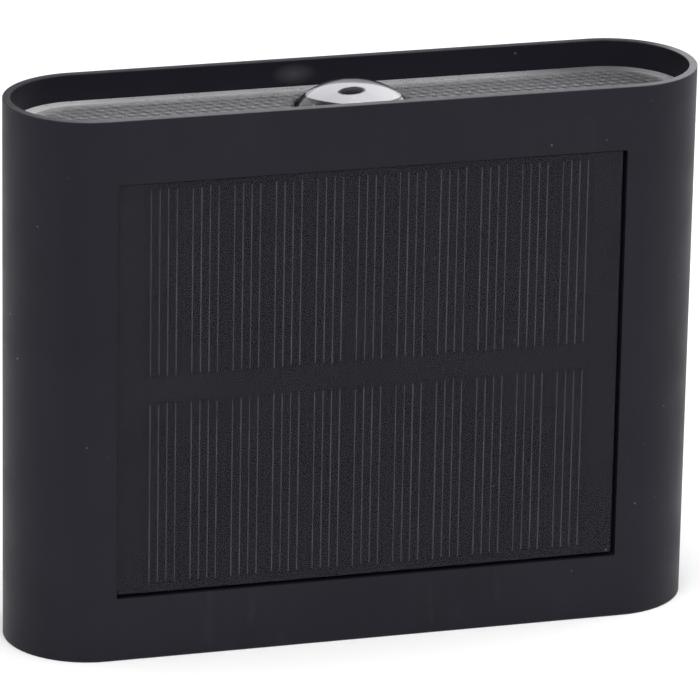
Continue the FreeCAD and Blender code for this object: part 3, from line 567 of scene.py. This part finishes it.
def build_lens(name, node, mirror):
    verts, faces, mats = [], [], []
    seg = 96
    outer = stadium_pts(LENS_R)
    inner = stadium_pts(LENS_R - BORDER)
    collar = circle_pts(COLLAR_R, seg)
    pts, edges = [], []

    def loop(ps):
        k = len(pts)
        pts.extend(Vector(p) for p in ps)
        edges.extend((k + i, k + (i + 1) % len(ps)) for i in range(len(ps)))

    loop(outer)
    loop(inner)
    loop(collar)
    height = {}
    rows = range(-8, 9)
    for j in rows:
        for i in range(-34, 35):
            x = (i + 0.5 * ((j + 1) % 2)) * PITCH_X
            y = YC + j * PITCH_Y + ROW_SHIFT
            if edge_distance(x, y, LENS_R) < BORDER + DIMPLE_R * 0.72 or math.hypot(x, y - YC) < COLLAR_R + DIMPLE_R * 1.02:
                continue
            k = len(pts)
            pts.append(Vector((x, y)))
            height[k] = DIMPLE_D
            for t, n in ((0.28, 6), (0.52, 10), (0.74, 12), (0.90, 14), (1.0, 14)):
                for s in range(n):
                    a = 2 * math.pi * (s + 0.5 * (n % 4)) / n
                    q = Vector((x + DIMPLE_R * t * math.cos(a), y + DIMPLE_R * t * math.sin(a)))
                    if edge_distance(q.x, q.y, LENS_R) < BORDER + 0.02:
                        continue
                    height[len(pts)] = DIMPLE_D * (math.cos(math.pi * t) + 1) / 2 if t < 1 else 0.0
                    pts.append(q)
    rv, re, rf, ov, oe, of_ = delaunay_2d_cdt(pts, edges, [], 1, 1e-5, True)
    for i, v in enumerate(rv):
        h = 0.0
        for src in ov[i]:
            h = height.get(src, h)
        verts.append((v.x, v.y, PLATE_TOP + h))
    for f in rf:
        c = sum((rv[i] for i in f), Vector((0, 0))) / len(f)
        if math.hypot(c.x, c.y - YC) < COLLAR_R - 1e-3 or edge_distance(c.x, c.y, LENS_R) < 1e-4:
            continue
        faces.append(tuple(f))
        mats.append(1 if edge_distance(c.x, c.y, LENS_R) < BORDER else 2)

    def ring(r, z, n=seg):
        k = len(verts)
        verts.extend((x, y, z) for x, y in circle_pts(r, n))
        return k

    def band(a, b, n, mat=0):
        for i in range(n):
            faces.append((a + i, a + (i + 1) % n, b + (i + 1) % n, b + i))
            mats.append(mat)

    # softened step round the foot of the dome
    k = [ring(COLLAR_R, PLATE_TOP)]
    for r, z in ((COLLAR_R - 0.06, PLATE_TOP + COLLAR_H * 0.75), (COLLAR_R - 0.16, PLATE_TOP + COLLAR_H)):
        k.append(ring(r, z))
    # dome from where it meets the collar
    zc = PLATE_TOP + DOME_H - DOME_R
    a0 = math.acos((PLATE_TOP + COLLAR_H - zc) / DOME_R)
    steps = 26
    for i in range(steps):
        a = a0 * (1 - i / steps)
        k.append(ring(DOME_R * math.sin(a), zc + DOME_R * math.cos(a)))
    for a, b in zip(k, k[1:]):
        band(a, b, seg)
    apex = len(verts)
    verts.append((0, YC, zc + DOME_R))
    for i in range(seg):
        faces.append((k[-1] + i, k[-1] + (i + 1) % seg, apex))
        mats.append(0)
    # edge and underside
    top0 = len(verts)
    verts.extend((x, y, PLATE_TOP) for x, y in outer)
    bot0 = len(verts)
    verts.extend((x, y, PLATE_BOT) for x, y in outer)
    band(top0, bot0, len(outer), 1)
    faces.append(tuple(bot0 + i for i in range(len(outer))))
    mats.append(0)
    if mirror:
        verts = [(x, y, -z) for x, y, z in verts]
    o = new_object(name, verts, faces, [M["clear_lens"], M["lens_border"], M["lens_field"]], sharp=35, mat_index=mats)
    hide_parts(node, node.replace("_lens", "_led"))
    return o


build_lens("top_lens_detail", "top_lens", False)
build_lens("bottom_lens_detail", "bottom_lens", True)

# ---------------------------------------------------------------- printed conductor lines on the cell strips
rnd = random.Random(7)
CELL_X0, CELL_PITCH, CELL_N = -0.45, 7.12, 11
lines_v, lines_f = [], []


def bar(x0, x1, z0, z1, y_front, y_back):
    k = len(lines_v)
    for y in (y_back, y_front):
        lines_v.extend(((x0, y, z0), (x1, y, z0), (x1, y, z1), (x0, y, z1)))
    for a, b, c, d in ((4, 5, 6, 7), (3, 2, 1, 0), (0, 1, 5, 4), (1, 2, 6, 5), (2, 3, 7, 6), (3, 0, 4, 7)):
        lines_f.append((k + a, k + b, k + c, k + d))


for z0, z1 in ((2.2, 35.4), (-34.6, -2.1)):
    for i in range(CELL_N):
        xc = CELL_X0 + (i - (CELL_N - 1) / 2) * CELL_PITCH
        for off in (-2.205, -0.735, 0.735, 2.205):
            w = 0.086 + rnd.uniform(-0.014, 0.014)
            x = xc + off
            zs = [z0 + 0.35 + rnd.uniform(-0.2, 0.2)]
            while zs[-1] < z1 - 4:
                zs.append(zs[-1] + rnd.uniform(3.0, 5.5))
            zs[-1] = z1 - 0.35 + rnd.uniform(-0.2, 0.2)
            for a, b in zip(zs, zs[1:]):
                ww = w + rnd.uniform(-0.012, 0.012)
                bar(x - ww, x + ww, a, b, -27.83, -27.79)
fingers = new_object("solar_cell_fingers", lines_v, lines_f, [M["printed_silver"]], smooth=False)

# ---------------------------------------------------------------- world, lights and floor
scene.view_settings.view_transform = "Standard"
world = bpy.data.worlds.new("studio")
scene.world = world
world.use_nodes = True
wt = world.node_tree
# a white room: brighter to the right in front of the object and to the left behind it
tc = wt.nodes.new("ShaderNodeTexCoord")
sep = wt.nodes.new("ShaderNodeSeparateXYZ")
wt.links.new(tc.outputs["Generated"], sep.inputs[0])
xy = wt.nodes.new("ShaderNodeMath")
xy.operation = "MULTIPLY"
wt.links.new(sep.outputs[0], xy.inputs[0])
wt.links.new(sep.outputs[1], xy.inputs[1])
mr = wt.nodes.new("ShaderNodeMapRange")
for k, v in zip(("From Min", "From Max", "To Min", "To Max"), (-0.5, 0.5, 0.98, 0.62)):
    mr.inputs[k].default_value = v
wt.links.new(xy.outputs[0], mr.inputs["Value"])
low = wt.nodes.new("ShaderNodeMapRange")
for k, v in zip(("From Min", "From Max", "To Min", "To Max"), (0.0, 0.25, 0.5, 1.0)):
    low.inputs[k].default_value = v
wt.links.new(sep.outputs[2], low.inputs["Value"])
high = wt.nodes.new("ShaderNodeMapRange")
for k, v in zip(("From Min", "From Max", "To Min", "To Max"), (0.65, 0.77, 1.0, 0.35)):
    high.inputs[k].default_value = v
wt.links.new(sep.outputs[2], high.inputs["Value"])
# a dark screen at the right end
screen = wt.nodes.new("ShaderNodeVectorMath")
screen.operation = "DOT_PRODUCT"
screen.inputs[1].default_value = (0.896, -0.362, 0.259)
wt.links.new(tc.outputs["Generated"], screen.inputs[0])
shade = wt.nodes.new("ShaderNodeMapRange")
for k, v in zip(("From Min", "From Max", "To Min", "To Max"), (0.86, 0.95, 1.0, 0.10)):
    shade.inputs[k].default_value = v
wt.links.new(screen.outputs["Value"], shade.inputs["Value"])
strength = mr.outputs[0]
for part in (low, high, shade):
    both = wt.nodes.new("ShaderNodeMath")
    both.operation = "MULTIPLY"
    wt.links.new(strength, both.inputs[0])
    wt.links.new(part.outputs[0], both.inputs[1])
    strength = both.outputs[0]
wt.links.new(strength, wt.nodes["Background"].inputs["Strength"])
wt.nodes["Background"].inputs["Color"].default_value = (0.985, 0.975, 1.0, 1)


def area(name, loc, target, size, power, size_y=None):
    d = bpy.data.lights.new(name, "AREA")
    d.shape = "RECTANGLE"
    d.size, d.size_y = size, size_y or size
    d.energy = power
    o = bpy.data.objects.new(name, d)
    scene.collection.objects.link(o)
    o.location = loc
    o.visible_transmission = False
    o.rotation_mode = "QUATERNION"
    o.rotation_quaternion = (Vector(target) - Vector(loc)).to_track_quat("-Z", "Y")
    return o


area("top_softbox", (0.0, -0.35, 1.3), (0, -0.15, 0), 1.5, 16)
area("right_softbox", (1.3, 0.1, 0.6), (0, 0, 0), 1.0, 6)
area("overhead_lamp", (-0.12, -0.28, 1.2), (0, -0.014, 0.04), 0.35, 3.5).visible_transmission = True

fm = bpy.data.meshes.new("floor")
s = 3.0
z0 = CAD_BOX[0].z
fm.from_pydata([(-s, -s, z0), (s, -s, z0), (s, s, z0), (-s, s, z0)], [], [(0, 1, 2, 3)])
floor = bpy.data.objects.new("floor", fm)
scene.collection.objects.link(floor)
fl = Mat("floor_white", (0.9, 0.9, 0.9), 0.8, Specular_IOR_Level=0.2)
fl.colour(fl.mix(fl.span(fl.noise(30, 3, 0.6), 0.3, 0.7), (0.95, 0.95, 0.95), (0.97, 0.97, 0.97)))
fm.materials.append(fl.m)
